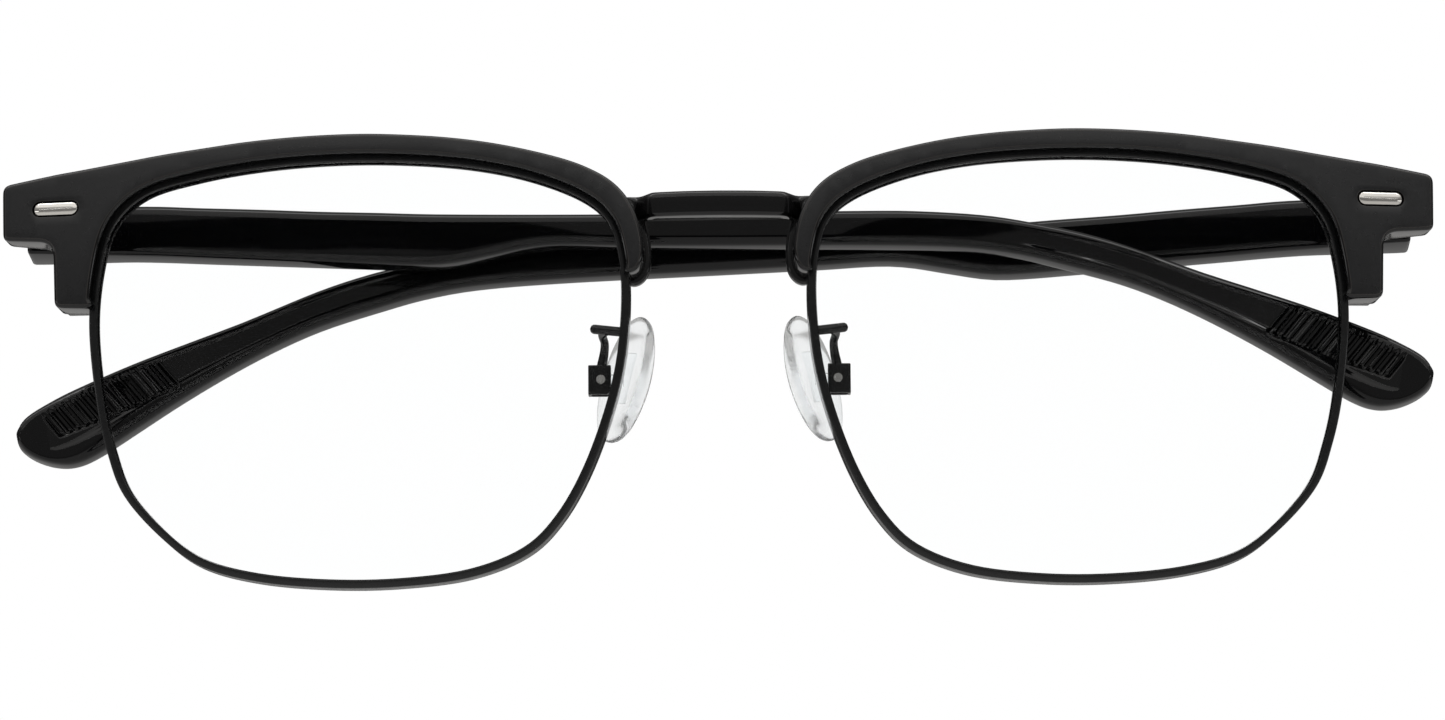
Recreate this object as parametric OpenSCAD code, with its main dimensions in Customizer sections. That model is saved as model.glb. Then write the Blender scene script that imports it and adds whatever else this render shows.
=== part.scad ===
// Half-rim (browline) eyeglasses: two dark brow pieces over full metal rims, a metal
// bridge, two clear lenses, rocking nose pads on bent arms and two folding temples.
// Millimetres. X = towards the wearer's left, Y = back towards the face, Z = up.
// The origin is the nose seat: the middle of the front, level with the pads.
// Every side is drawn once for the wearer's left and mirrored for the right.

/* [Front] */
// distance of each lens centre from the middle
lens_x = 35.5; // [32:0.5:39]
// radius of the sphere that the front faces lie on
base_r = 130; // [90:5:260]
// how far each half of the front is turned back
wrap = 3.5; // [0:0.5:8]
// thickness of the brow pieces, front to back
brow_t = 4.0; // [3:0.1:5]

/* [Rims and lenses] */
// width of the rim wire seen from the front
wire_w = 0.8; // [0.6:0.1:1.4]
// depth of the rim wire, front to back
wire_t = 2.2; // [1.6:0.1:3]
// how far the rim starts behind the brow's front face
wire_set = 1.2; // [0.8:0.1:1.6]
// lens thickness
lens_t = 1.9; // [1.2:0.1:2.6]

/* [Temples] */
// thickness of a temple at the hinge
temple_t = 4.0; // [3.4:0.1:5]
// how far the open temples slope down
panto = 8; // [0:1:12]
// angle of the folded right temple past flat, towards the lenses
tuck_right = 2.1; // [0:0.1:3]
// angle of the folded left temple short of flat, over the right one
lift_left = 1.8; // [1:0.1:4]
// how far each temple drops from its hinge to its tip, as a slope, as adjusted to a wearer
drop_right = 0.0; // [0:0.001:0.02]
drop_left = 0.017; // [0:0.001:0.02]
// grooves on the inside of each temple tip, with a rib between each two
rib_count = 15; // [8:1:20]

/* [Nose pads] */
// height of a pad
pad_h = 13.2; // [11:0.2:15]
// width of a pad
pad_w = 7.2; // [6:0.2:9]
// how much the top of each pad leans in
pad_lean = 14; // [5:1:25]
// how much each pad is turned, front to back
pad_turn = 50; // [30:1:65]

/* [Hidden] */
$fn = 48;
gap = 0.02;           // between parts that are fixed together
steps = 4;            // straight pieces between two points of a curve
groove_w = 0.9;       // rim groove and lens edge, front to back
mid_d = wire_set + wire_t / 2;

// hinge: pin centre, and its distances to the butt face and the temple's inner face
hinge_p = [67.0, 16.4, 18.3];
butt_c = 4.0;
face_e = 1.0;
barrel_r = 1.25;
pin_r = 0.6;
run = 0.05;           // running clearance round pins
knuckle = 0.95;       // half height of the middle knuckle
barrel_h = 2.1;       // half height of the whole barrel

// nose pad: centre of the pad, and of the box that its screw goes through
pad_p = [9.3, 9.5, 0.8];
box_p = [11.9, 8.2, 0.5];

// middle line of the rim wire: [towards the temple, up], from the temple side upwards
rim_pts = [[27.6, 6.0], [27.2, 12.2], [25.9, 16.7], [22.6, 19.75], [17.0, 21.25],
           [10.5, 22.15], [3.5, 22.55], [-3.5, 22.45], [-10.5, 21.85], [-16.5, 20.6],
           [-21.6, 18.6], [-24.4, 16.2], [-25.6, 12.8], [-26.0, 8.2], [-25.6, 2.2],
           [-24.35, -3.4], [-22.15, -9.4], [-19.4, -14.2], [-16.0, -17.5],
           [-10.5, -19.65], [-3.5, -20.5], [3.5, -20.5], [10.5, -19.75], [16.2, -18.1],
           [20.3, -15.05], [23.85, -11.0], [25.5, -6.9], [26.7, -1.8]];
// top and nasal edge of a brow, from the end piece to the tip beside the nose
brow_top = [[36.8, 21.35], [33, 21.95], [29, 22.4], [25, 22.9], [20.5, 23.5], [16.4, 23.95],
            [12.3, 24.4], [8.2, 24.7], [4.2, 24.87], [0, 24.9], [-4, 24.73], [-8, 24.43],
            [-12, 23.92], [-16, 23.15], [-20, 22.12], [-22.6, 21.1], [-24.6, 19.9],
            [-26.1, 18.3], [-27.1, 16.4], [-27.65, 14.5], [-27.85, 12.6], [-27.6, 11.3],
            [-27.15, 10.6], [-26.5, 10.3], [-25.9, 10.5], [-25.55, 11.1]];
// end piece and leg, from inside the lens round to the top edge
brow_leg = [[-20, 12], [20, 12], [27.3, 9.0], [27.55, 8.1], [28.05, 7.7], [30.9, 8.0],
            [31.4, 8.35], [31.6, 8.95], [31.75, 11], [31.9, 12.7], [32.1, 13.7],
            [32.6, 14.5], [33.5, 15.0], [36.5, 15.35], [37.05, 15.6], [37.25, 16.1],
            [37.45, 18.5], [37.5, 20.25], [37.35, 20.85]];
// side view of a temple from its hinge pin: upper and lower edge
temple_top = [[-3.5, 2.75], [7.4, 2.8], [13.7, 2.5], [19.9, 2.2], [26, 1.85], [32, 1.6],
              [39, 1.3], [54, 1.0], [68, 0.9], [82, 0.8], [88, 0.6], [94.5, 0.0],
              [100, -1.1], [104, -2.1], [108, -3.4], [112.5, -5.2], [116.7, -6.9],
              [121, -8.5], [127, -10.8], [132.5, -13.2], [135.6, -14.8],
              [138.0, -16.4], [138.95, -17.4]];
temple_low = [[139.15, -18.5], [138.6, -19.6], [137.2, -20.75], [135.1, -21.5], [133, -21.55],
              [130.7, -20.6], [126.7, -17.9], [122.7, -15.2], [118.7, -12.7],
              [114.5, -10.3], [110.6, -8.4], [107, -7.0], [102, -5.5], [97.5, -4.3],
              [92, -3.45], [83, -3.0], [67, -2.7], [57, -2.5], [51, -2.3], [47.5, -2.55],
              [43.5, -3.35], [39.5, -4.1], [36, -4.2], [30, -3.9], [16, -3.1], [8, -2.65],
              [-3.5, -2.35]];
// nose pad arm: a straight bar on the rim, and a bent wire from it down to the pad's box
bar_pts = [[9.7, 4.72, 4.85], [12.9, 5.85, 5.4]];
fork = bar_pts[0] + 0.48 * (bar_pts[1] - bar_pts[0]);
arm_pts = [fork, [11.7, 6.6, 4.9], [11.5, 7.7, 4.2], [11.6, 8.2, 3.1], [11.9, 8.2, 1.6]];

function seg(a, b, c, d, t) = 0.5 * (2 * b + (c - a) * t + (2 * a - 5 * b + 4 * c - d) * t * t
                                     + (3 * b - a - 3 * c + d) * t * t * t);
function slope(a, b, c, d, t) = 0.5 * ((c - a) + 2 * (2 * a - 5 * b + 4 * c - d) * t
                                       + 3 * (3 * b - a - 3 * c + d) * t * t);
// closed curve through p, moved outwards by off
function loop_pt(p, i, t, off) =
    let (n = len(p), a = p[(i + n - 1) % n], b = p[i], c = p[(i + 1) % n],
         d = p[(i + 2) % n], v = slope(a, b, c, d, t))
    seg(a, b, c, d, t) + off * [v[1], -v[0]] / norm(v);
function loop(p, off) = [for (i = [0 : len(p) - 1]) for (k = [0 : steps - 1])
                         loop_pt(p, i, k / steps, off)];
// open curve through p
function curve(p, m = 2) = concat([for (i = [0 : len(p) - 2]) for (k = [0 : m - 1])
    seg(p[max(i - 1, 0)], p[i], p[i + 1], p[min(i + 2, len(p) - 1)], k / m)], [p[len(p) - 1]]);

// ---- frames ----
module right() mirror([1, 0, 0]) children();
module lens_frame() translate([lens_x, 0, 0]) rotate([0, 0, wrap]) children();
module hinge_frame() translate(hinge_p) rotate([-panto, 0, 0]) children();
module pad_frame() translate(pad_p) rotate([0, -pad_lean, 0]) rotate([0, 0, pad_turn]) children();
// a drawing in X and Z, made solid between two depths
module slab(y0, y1) translate([0, y1, 0]) rotate([90, 0, 0]) linear_extrude(y1 - y0) children();
module ball(d) translate([0, base_r, 0]) sphere(r = base_r - d, $fn = 360);
// the part of a slab between two depths behind the front sphere
module shell(d0, d1) intersection() {
    slab(-2, 22) children();
    difference() { ball(d0); ball(d1); }
}
module rod(a, b, r) translate(a) rotate([0, acos((b - a)[2] / norm(b - a)),
    atan2((b - a)[1], (b - a)[0])]) cylinder(h = norm(b - a), r = r);
module temple_frame(turn) rotate([0, 0, turn]) children();

// ---- rims and lenses ----
lock_z = 9.7;         // height where the rim is split
lock_u = 29.5;        // the lock screw's distance from the lens centre
lock_y = 7.35;

module lock_block(grow) translate([27.75 - grow, 5.6 - grow, lock_z - 1.7 - grow])
    cube([3.1 + 2 * grow, 3.2 + 2 * grow, 3.4 + 2 * grow]);

module rim() color("#1b1c1e") lens_frame() difference() {
    union() {
        shell(wire_set, wire_set + wire_t) difference() {
            polygon(loop(rim_pts, wire_w / 2));
            polygon(loop(rim_pts, -wire_w / 2));
        }
        lock_block(0);
    }
    shell(mid_d - groove_w / 2, mid_d + groove_w / 2) difference() {
        polygon(loop(rim_pts, 0.05));
        polygon(loop(rim_pts, -wire_w));
    }
    translate([25, 2, lock_z - 0.08]) cube([7, 8, 0.16]);
    translate([lock_u, lock_y, lock_z - 2.9]) cylinder(h = 4.2, r = 0.55 + gap);
    translate([lock_u, lock_y, lock_z - 2.9]) cylinder(h = 1.8, r = 0.85 + gap);
}
module rim_screw() color("#2a2b2d") lens_frame() translate([lock_u, lock_y, lock_z]) difference() {
    union() {
        translate([0, 0, -1.65]) cylinder(h = 0.53, r = 0.85);
        translate([0, 0, -1.65]) cylinder(h = 2.9, r = 0.55);
    }
    translate([-1, -0.12, -1.8]) cube([2, 0.24, 0.4]);
}
module lens() color("#eef4f6", 0.3) lens_frame() union() {
    shell(mid_d - lens_t / 2, mid_d + lens_t / 2) polygon(loop(rim_pts, -wire_w / 2 - 0.05));
    shell(mid_d - groove_w / 2 + gap, mid_d + groove_w / 2 - gap)
        polygon(loop(rim_pts, 0));
}

// ---- brow pieces ----
pill_p = [31.7, 18.4];
pill_l = 4.7;
pill_w = 1.4;
module pill(grow) translate(pill_p) rotate(2) union() {
    square([pill_l - pill_w, pill_w + 2 * grow], center = true);
    for (s = [-1, 1]) translate([s * (pill_l - pill_w) / 2, 0]) circle(r = pill_w / 2 + grow);
}
module brow_shape() difference() {
    polygon(concat(curve(brow_top), brow_leg));
    polygon(loop(rim_pts, 0.05));
}
module brow() color("#222325") difference() {
    lens_frame() difference() {
        intersection() { slab(-2, 22) brow_shape(); ball(0); }
        // rear face, left thicker behind the end piece for the hinge
        difference() {
            ball(brow_t);
            translate([28.6, 4, 14.6]) rotate([0, 0, -35]) cube([20, 20, 10]);
        }
        // channel for the rim wire
        intersection() {
            slab(-2, 22) polygon(loop(rim_pts, wire_w / 2 + gap));
            ball(wire_set - gap);
        }
        lock_block(0.1);
        translate([27.6, 5.5, 5]) cube([3.35, 8, 3.7]);
        shell(-0.5, 0.62) pill(0.12);
    }
    hinge_frame() translate([-12, -butt_c, -12]) cube([30, 20, 24]);
    hinge_frame() hinge_rivets(gap);
    lens_frame() brow_screw_hole(0.4 + gap);
}
module inlay() color("#d9d9d6") lens_frame() shell(-0.12, 0.6) pill(0);

// ---- bridge and the screws that hold the brows to its feet ----
bridge_top = 19.05;
bridge_low = 16.5;
bridge_bar = [[-10.2, 7.4], [-10.2, 6.6], [-8.3, 6.6], [-6.9, 4.2], [-3.5, 3.85], [0, 3.75],
              [3.5, 3.85], [6.9, 4.2], [8.3, 6.6], [10.2, 6.6], [10.2, 7.4], [7.8, 7.4],
              [6.2, 6.3], [0, 5.9], [-6.2, 6.3], [-7.8, 7.4]];
foot_pts = [[-26.9, 18.6], [-27.6, 17.0], [-28.1, 15.0], [-28.3, 12.8], [-28.1, 11.2],
            [-27.5, 10.2], [-26.7, 9.75], [-25.95, 9.9], [-25.5, 10.5], [-25.4, 11.6],
            [-25.3, 14.0], [-24.9, 16.0], [-24.3, 17.6], [-25.2, 18.9]];
brow_screw_p = [-27.05, 13.4];
module foot() lens_frame() difference() {
    union() {
        shell(brow_t + gap, brow_t + 1.2) polygon(curve(foot_pts));
        shell(wire_set + wire_t + gap, brow_t + 1.2) intersection() {
            polygon(curve(foot_pts));
            difference() {
                polygon(loop(rim_pts, wire_w / 2));
                polygon(loop(rim_pts, -wire_w / 2));
            }
        }
    }
    brow_screw_hole(0.4 + gap);
    translate([brow_screw_p[0], 8, brow_screw_p[1]]) rotate([-90, 0, 0])
        cylinder(h = 2, r = 0.75 + gap);
}
module bridge() color("#161719") union() {
    intersection() {
        translate([0, 0, bridge_low]) linear_extrude(bridge_top - bridge_low) polygon(bridge_bar);
        difference() {
            cube([40, 40, 60], center = true);
            // sloping front edge below, and clear of the rims at the ends
            translate([-20, 3.4, bridge_low]) rotate([-35, 0, 0]) translate([0, -3, -3]) cube([40, 3.4, 3]);
        }
    }
    foot();
    right() foot();
}
module brow_screw_hole(r) translate([brow_screw_p[0], 4.3, brow_screw_p[1]])
    rotate([-90, 0, 0]) cylinder(h = 6, r = r);
module brow_screw() color("#2a2b2d") lens_frame()
    translate([brow_screw_p[0], 4.4, brow_screw_p[1]]) rotate([-90, 0, 0]) difference() {
        union() {
            cylinder(h = 4.3, r = 0.4);
            translate([0, 0, 3.7]) cylinder(h = 0.6, r = 0.75);
        }
        translate([-1, -0.1, 4.05]) cube([2, 0.2, 1]);
    }

// ---- nose pads ----
box_x = 2.3;
box_y = 1.9;
box_z = 2.8;
tab_t = 0.8;
tab_r = 0.8;
screw_r = 0.45;
module pad_screw_bore(r) translate([box_p[0], box_p[1] - 3, box_p[2]]) rotate([-90, 0, 0])
    cylinder(h = 6, r = r);
module pad_arm() color("#161719") difference() {
    union() {
        rod(bar_pts[0], bar_pts[1], 0.5);
        for (i = [0 : len(arm_pts) - 2]) rod(arm_pts[i], arm_pts[i + 1], 0.46);
        for (i = [1 : len(arm_pts) - 2]) translate(arm_pts[i]) sphere(r = 0.53);
        translate(box_p) cube([box_x, box_y, box_z], center = true);
    }
    // slot that the pad's tab rocks in
    translate([box_p[0] - box_x, box_p[1] - tab_t / 2 - 0.06, box_p[2] - box_z])
        cube([box_x + tab_r + 0.15, tab_t + 0.12, 2 * box_z - 1.6]);
    pad_screw_bore(screw_r + gap);
    // flat seat on the back of the rim
    lens_frame() intersection() {
        translate([-30, 0, 0]) cube([10, 12, 10]);
        difference() { ball(0); ball(wire_set + wire_t + gap); }
    }
}
module pad_screw() color("#d5d5d2") translate(box_p) rotate([-90, 0, 0]) difference() {
    union() {
        translate([0, 0, -box_y / 2 - 0.1]) cylinder(h = box_y + 0.1, r = screw_r);
        translate([0, 0, box_y / 2 + gap]) cylinder(h = 0.4, r = 0.8);
        translate([0, 0, box_y / 2 - gap]) cylinder(h = 0.1, r = screw_r);
    }
    translate([-1, -0.1, box_y / 2 + 0.25]) cube([2, 0.2, 1]);
}
module tab_body(grow) {
    // round end on the screw, and a neck to the plate inside the pad
    translate([box_p[0], box_p[1] - tab_t / 2 - grow, box_p[2]]) rotate([-90, 0, 0])
        cylinder(h = tab_t + 2 * grow, r = tab_r + grow);
    translate([9.6 - grow, box_p[1] - tab_t / 2 - grow, box_p[2] - 0.6 - grow])
        cube([box_p[0] - 9.6 + grow, tab_t + 2 * grow, 1.2 + 2 * grow]);
    pad_frame() translate([-1.3 - grow, -0.75 - grow, -2.6 - grow])
        cube([2.6 + 2 * grow, 0.5 + 2 * grow, 5.2 + 2 * grow]);
}
module pad_core() color("#c8c8c4") difference() {
    tab_body(0);
    pad_screw_bore(screw_r + run);
}
pad_pts = [[0, 6.6], [1.9, 5.9], [3.0, 4.1], [3.45, 1.6], [3.6, -1.2], [3.3, -3.8], [2.3, -5.7],
           [0.5, -6.6], [-1.4, -6.3], [-2.8, -4.8], [-3.4, -2.4], [-3.5, 0.6], [-3.1, 3.4],
           [-2.0, 5.6]];
function pad_outline() = [for (q = loop(pad_pts, 0)) [q[0] * pad_w / 7.2, q[1] * pad_h / 13.2]];
module nose_pad() color("#e9eff0", 0.6) difference() {
    pad_frame() intersection() {
        slab(-1.1, 1.4) polygon(pad_outline());
        translate([0, -17.4, 0]) sphere(r = 18.5, $fn = 200);
        translate([0, 21, 0]) sphere(r = 22.1, $fn = 200);
    }
    tab_body(gap);
}

// ---- hinges ----
leaf_x0 = -5.6;
module hinge_rivets(grow) for (x = [-4.6, -2.4], z = [-1.1, 1.1])
    translate([x, -butt_c - 2.2, z]) rotate([-90, 0, 0])
        cylinder(h = 2.4, r = 0.5 + grow);
module hinge_front() color("#2a2b2d") hinge_frame() difference() {
    union() {
        translate([leaf_x0, -butt_c + gap, -barrel_h]) cube([0.8 - leaf_x0, 0.8, 2 * barrel_h]);
        hinge_rivets(0);
        for (z = [-barrel_h, knuckle + run]) translate([0, 0, z]) {
            cylinder(h = barrel_h - knuckle - run, r = barrel_r);
            translate([-barrel_r, -butt_c + 0.5, 0])
                cube([barrel_r + 0.8, butt_c - 0.5, barrel_h - knuckle - run]);
        }
    }
    translate([0, 0, -5]) cylinder(h = 10, r = pin_r + gap);
}
module hinge_screw() color("#8d8e90") hinge_frame() difference() {
    union() {
        translate([0, 0, -barrel_h]) cylinder(h = 2 * barrel_h + 0.1, r = pin_r);
        translate([0, 0, barrel_h + gap]) cylinder(h = 0.5, r = 1.0);
    }
    translate([-1.5, -0.13, barrel_h + 0.3]) cube([3, 0.26, 1]);
}
// drawn open, along +Y from the pin; the leaf is moulded into the temple, under its inner face
leaf_in = 0.35;
module temple_leaf(grow) {
    translate([face_e + leaf_in - grow, 1.5 - grow, -1.6 - grow])
        cube([0.8 + 2 * grow, 11 + 2 * grow, 3.2 + 2 * grow]);
    for (y = [5, 9.5]) translate([face_e + leaf_in + 0.2, y, 0]) rotate([0, 90, 0])
        cylinder(h = 0.8 + grow, r = 0.55 + grow);
}
module hinge_temple(turn) color("#2a2b2d") hinge_frame() temple_frame(turn) difference() {
    union() {
        translate([0, 0, -knuckle]) cylinder(h = 2 * knuckle, r = barrel_r);
        translate([0, 0, -knuckle]) cube([face_e + 0.8, 2.4, 2 * knuckle]);
        temple_leaf(0);
    }
    translate([0, 0, -5]) cylinder(h = 10, r = pin_r + run);
}

// ---- temples ----
// seen from above: inner and outer face, thinner towards the middle, turned in at the tip
plan_in = [[-5, face_e], [30, face_e], [60, face_e + 0.15], [95, face_e + 0.1], [115, face_e - 0.3],
           [130, face_e - 0.9], [141, face_e - 1.5]];
plan_out = [[141, face_e + temple_t - 2.2], [130, face_e + temple_t - 1.2],
            [115, face_e + temple_t - 0.7], [95, face_e + temple_t - 0.45],
            [60, face_e + temple_t - 0.4], [30, face_e + temple_t - 0.2], [-5, face_e + temple_t]];
function dropped(p, drop) = [for (q = p) [q[0], q[1] - drop * q[0]]];
module temple_side(drop) polygon(concat([[-butt_c + run, 2.3]], dropped(curve(temple_top), drop),
                                        dropped(curve(temple_low), drop), [[-butt_c + run, -1.95]]));
rib_from = 123.9;     // grooves between the ribs: the first one's distance from the hinge
rib_pitch = 0.81;
module rib_grooves(drop) for (k = [0 : rib_count - 1]) let (s = rib_from + k * rib_pitch)
    translate([face_e - 3, s, -11.25 - 0.41 * (s - 121) - drop * s]) rotate([-40, 0, 0])
        translate([0, -0.21, -2]) cube([2.95 - 0.045 * (s - 115), 0.42, 4.0]);
core_y0 = -butt_c + run + 0.02;
core_l1 = 98.6;
core_l2 = 32;
core_a = 0.6;         // slope of the straight part, then of the part that goes down
core_b = 20;
module core_wire(grow, drop) let (a = core_a + atan(drop)) {
    translate([face_e + 2.0, core_y0 - grow, -0.5]) rotate([-90 - a, 0, 0])
        cylinder(h = core_l1 + grow, r = 0.6 + grow);
    translate([face_e + 2.0, core_y0 + core_l1 - 0.5, -0.5 - core_l1 * sin(a)])
        rotate([-90 - core_b - atan(drop), 0, 0]) cylinder(h = core_l2, r = 0.54 + grow);
}
module temple(turn, drop) color("#141517") hinge_frame() temple_frame(turn) difference() {
    intersection() {
        // side view drawn in Y and Z, made solid along X
        rotate([90, 0, 90]) linear_extrude(8) temple_side(drop);
        translate([0, 0, -30]) linear_extrude(40)
            polygon([for (q = concat(curve(plan_in), curve(plan_out))) [q[1], q[0]]]);
    }
    temple_leaf(gap);
    core_wire(gap, drop);
    rib_grooves(drop);
    // room for the barrel and the front leaf
    translate([0, 0, -barrel_h - 0.6]) cylinder(h = 2 * barrel_h + 1.5, r = barrel_r + 0.2);
    translate([-0.5, 0, -knuckle - gap]) cube([face_e + 0.8 + 0.5 + gap, 2.45, 2 * (knuckle + gap)]);
}
module temple_core(turn, drop) color("#77787a") hinge_frame() temple_frame(turn)
    core_wire(0, drop);

turn_left = 90 - lift_left;
turn_right = 90 + tuck_right;

right() brow();  // brow_right
brow();  // brow_left
right() inlay();  // brow_inlay_right
inlay();  // brow_inlay_left
right() rim();  // rim_right
rim();  // rim_left
bridge();
right() lens();  // lens_right
lens();  // lens_left
right() rim_screw();  // rim_screw_right
rim_screw();  // rim_screw_left
right() brow_screw();  // brow_screw_right
brow_screw();  // brow_screw_left
right() pad_arm();  // pad_arm_right
pad_arm();  // pad_arm_left
right() pad_screw();  // pad_screw_right
pad_screw();  // pad_screw_left
right() pad_core();  // pad_core_right
pad_core();  // pad_core_left
right() nose_pad();  // nose_pad_right
nose_pad();  // nose_pad_left
right() hinge_front();  // hinge_front_right
hinge_front();  // hinge_front_left
right() hinge_screw();  // hinge_screw_right
hinge_screw();  // hinge_screw_left
right() hinge_temple(turn_right);  // hinge_temple_right
hinge_temple(turn_left);  // hinge_temple_left
right() temple(turn_right, drop_right);  // temple_right
temple(turn_left, drop_left);  // temple_left
right() temple_core(turn_right, drop_right);  // temple_core_right
temple_core(turn_left, drop_left);  // temple_core_left
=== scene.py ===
"""Half-rim eyeglasses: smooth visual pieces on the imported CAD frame, materials, light, camera."""
import math

import bpy
import numpy as np
from mathutils import Matrix, Vector
from mathutils.geometry import delaunay_2d_cdt

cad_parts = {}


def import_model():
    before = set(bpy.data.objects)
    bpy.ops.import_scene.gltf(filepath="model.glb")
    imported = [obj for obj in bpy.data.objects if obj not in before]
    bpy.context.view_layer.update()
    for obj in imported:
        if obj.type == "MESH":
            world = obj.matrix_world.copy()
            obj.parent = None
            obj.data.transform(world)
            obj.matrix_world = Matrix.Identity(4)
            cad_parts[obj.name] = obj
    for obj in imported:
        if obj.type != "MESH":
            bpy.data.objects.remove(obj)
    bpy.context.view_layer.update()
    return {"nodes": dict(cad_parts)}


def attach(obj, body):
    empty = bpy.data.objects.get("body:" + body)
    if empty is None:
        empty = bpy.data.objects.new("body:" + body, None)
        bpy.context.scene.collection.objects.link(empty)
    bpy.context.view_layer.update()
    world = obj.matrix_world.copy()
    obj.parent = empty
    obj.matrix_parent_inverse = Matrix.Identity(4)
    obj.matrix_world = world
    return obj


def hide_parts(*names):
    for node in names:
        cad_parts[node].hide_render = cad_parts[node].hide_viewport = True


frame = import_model()
MM = 0.001

# ---------------------------------------------------------------- CAD values, in millimetres
LENS_X, BASE_R, WRAP, BROW_T = 35.5, 130.0, 3.5, 4.0
WIRE_W, WIRE_T, WIRE_SET, LENS_T = 0.8, 2.2, 1.2, 1.9
MID_D = WIRE_SET + WIRE_T / 2
TEMPLE_T, PANTO, TUCK_RIGHT, LIFT_LEFT = 4.0, 8.0, 2.1, 1.8
DROP = {"right": 0.0, "left": 0.017}
HINGE = np.array([67.0, 16.4, 18.3])
BUTT, FACE = 4.0, 1.0
PAD_P, PAD_LEAN, PAD_TURN = np.array([9.3, 9.5, 0.8]), 14.0, 50.0
BOX_P, BOX = np.array([11.9, 8.2, 0.5]), (2.3, 1.9, 2.8)
RIM = [(27.6, 6.0), (27.2, 12.2), (25.9, 16.7), (22.6, 19.75), (17.0, 21.25), (10.5, 22.15),
       (3.5, 22.55), (-3.5, 22.45), (-10.5, 21.85), (-16.5, 20.6), (-21.6, 18.6), (-24.4, 16.2),
       (-25.6, 12.8), (-26.0, 8.2), (-25.6, 2.2), (-24.35, -3.4), (-22.15, -9.4), (-19.4, -14.2),
       (-16.0, -17.5), (-10.5, -19.65), (-3.5, -20.5), (3.5, -20.5), (10.5, -19.75),
       (16.2, -18.1), (20.3, -15.05), (23.85, -11.0), (25.5, -6.9), (26.7, -1.8)]
BROW_TOP = [(36.8, 21.35), (33, 21.95), (29, 22.4), (25, 22.9), (20.5, 23.5), (16.4, 23.95),
            (12.3, 24.4), (8.2, 24.7), (4.2, 24.87), (0, 24.9), (-4, 24.73), (-8, 24.43),
            (-12, 23.92), (-16, 23.15), (-20, 22.12), (-22.6, 21.1), (-24.6, 19.9),
            (-26.1, 18.3), (-27.1, 16.4), (-27.65, 14.5), (-27.85, 12.6), (-27.6, 11.3),
            (-27.15, 10.6), (-26.5, 10.3), (-25.95, 10.45)]
# end piece and leg as corners with a radius each, from the leg's inner foot round to the top
BROW_LEG = [(27.55, 7.75, 0.5), (31.5, 8.05, 0.55), (31.85, 14.9, 1.6), (37.25, 15.45, 0.45),
            (37.55, 21.3, 0.7)]
TEMPLE_TOP = [(-3.5, 2.75), (7.4, 2.8), (13.7, 2.5), (19.9, 2.2), (26, 1.85), (32, 1.6), (39, 1.3),
              (54, 1.0), (68, 0.9), (82, 0.8), (88, 0.6), (94.5, 0.0), (100, -1.1), (104, -2.1),
              (108, -3.4), (112.5, -5.2), (116.7, -6.9), (121, -8.5), (127, -10.8),
              (132.5, -13.2), (135.6, -14.8), (138.0, -16.4), (139.05, -18.0)]
TEMPLE_LOW = [(139.05, -18.0), (138.6, -19.6), (137.2, -20.75), (135.1, -21.5), (133, -21.55),
              (130.7, -20.6), (126.7, -17.9), (122.7, -15.2), (118.7, -12.7), (114.5, -10.3),
              (110.6, -8.4),
              (107, -7.0), (102, -5.5), (97.5, -4.3), (92, -3.45), (83, -3.0), (67, -2.7),
              (57, -2.5), (51, -2.3), (47.5, -2.55), (43.5, -3.35), (39.5, -4.1), (36, -4.2),
              (30, -3.9), (16, -3.1), (8, -2.65), (-3.5, -2.35)]
ARM_BAR = [(9.7, 4.72, 4.85), (12.9, 5.85, 5.4)]
ARM_WIRE = [(11.24, 5.26, 5.11), (11.7, 6.6, 4.9), (11.5, 7.7, 4.2), (11.6, 8.2, 3.1),
            (11.9, 8.2, 1.6)]
PAD = [(0, 6.6), (1.9, 5.9), (3.0, 4.1), (3.45, 1.6), (3.6, -1.2), (3.3, -3.8), (2.3, -5.7),
       (0.5, -6.6), (-1.4, -6.3), (-2.8, -4.8), (-3.4, -2.4), (-3.5, 0.6), (-3.1, 3.4),
       (-2.0, 5.6)]
FOOT = [(-26.9, 18.6), (-27.6, 17.0), (-28.1, 15.0), (-28.3, 12.8), (-28.1, 11.2), (-27.5, 10.2),
        (-26.7, 9.75), (-25.95, 9.9), (-25.5, 10.5), (-25.4, 11.6), (-25.3, 14.0), (-24.9, 16.0),
        (-24.3, 17.6), (-25.2, 18.9)]
BAR = [(-10.2, 7.4), (-10.2, 6.6), (-8.3, 6.6), (-6.9, 4.2), (-3.5, 3.85), (0, 3.75),
       (3.5, 3.85), (6.9, 4.2), (8.3, 6.6), (10.2, 6.6), (10.2, 7.4), (7.8, 7.4),
       (6.2, 6.3), (0, 5.9), (-6.2, 6.3), (-7.8, 7.4)]


# ---------------------------------------------------------------- curves
def curve(pts, m=6, closed=False):
    """Catmull-Rom curve through pts, the same one that part.scad draws."""
    p = np.array(pts, float)
    n = len(p)
    out = []
    for i in range(n if closed else n - 1):
        if closed:
            a, b, c, d = p[(i - 1) % n], p[i], p[(i + 1) % n], p[(i + 2) % n]
        else:
            a, b, c, d = p[max(i - 1, 0)], p[i], p[i + 1], p[min(i + 2, n - 1)]
        for k in range(m):
            t = k / m
            out.append(0.5 * (2 * b + (c - a) * t + (2 * a - 5 * b + 4 * c - d) * t * t
                              + (3 * b - a - 3 * c + d) * t ** 3))
    if not closed:
        out.append(p[-1])
    return np.array(out)


def even(p, step, closed=True):
    """The polyline p at even steps."""
    q = np.vstack([p, p[:1]]) if closed else p
    d = np.r_[0, np.cumsum(np.linalg.norm(np.diff(q, axis=0), axis=1))]
    n = max(int(round(d[-1] / step)), 3)
    s = np.linspace(0, d[-1], n + 1)
    if closed:
        s = s[:-1]
    return np.c_[tuple(np.interp(s, d, q[:, k]) for k in range(q.shape[1]))]


def area(p):
    return 0.5 * np.sum(p[:, 0] * np.roll(p[:, 1], -1) - p[:, 1] * np.roll(p[:, 0], -1))


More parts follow.
